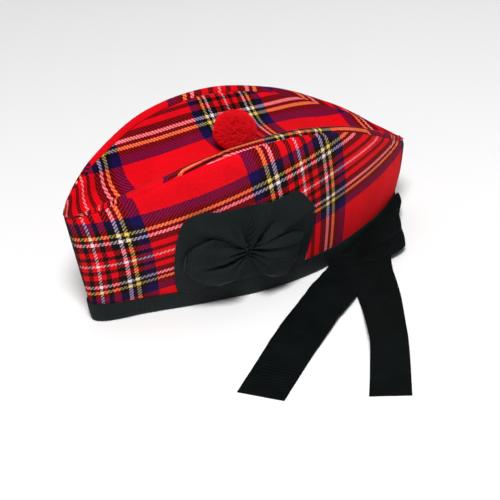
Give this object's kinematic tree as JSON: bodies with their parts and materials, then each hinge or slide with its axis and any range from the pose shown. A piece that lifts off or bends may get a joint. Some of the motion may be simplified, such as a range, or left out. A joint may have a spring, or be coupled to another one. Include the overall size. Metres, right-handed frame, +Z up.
{
  "type": "glengarry",
  "caption": "Boat-shaped cloth cap in red tartan with a sunk crown, ribbon-bound edge, side cockade, wool toorie and loose ribbon tails at the back.",
  "frame": {"origin": "centre of the overall box, on the surface that the cap and its tails rest on", "axes": "+Z up; the front seam points to -X, the back seam to +X, and the cockade side, the wearer's left, faces -Y"},
  "size_m": [0.2998, 0.2854, 0.1376],
  "materials": {
    "side_left": "red tartan wool twill, brushed",
    "side_right": "red tartan wool twill, brushed",
    "crown": "red tartan wool twill, brushed",
    "binding": "black ribbed ribbon",
    "toorie": "cut wool pile",
    "cockade_backing": "black ribbed ribbon",
    "cockade_loop_front": "black ribbed ribbon",
    "cockade_loop_rear": "black ribbed ribbon",
    "back_bow": "black ribbed ribbon",
    "tail_left": "black ribbed ribbon",
    "tail_right": "black ribbed ribbon"
  },
  "bodies": {
    "root": {"side_left": "side_left", "side_right": "side_right", "crown": "crown", "binding": "binding", "toorie": "toorie", "cockade_backing": "cockade_backing", "cockade_loop_front": "cockade_loop_front", "cockade_loop_rear": "cockade_loop_rear", "back_bow": "back_bow", "tail_left": "tail_left", "tail_right": "tail_right"}
  },
  "joints": []
}
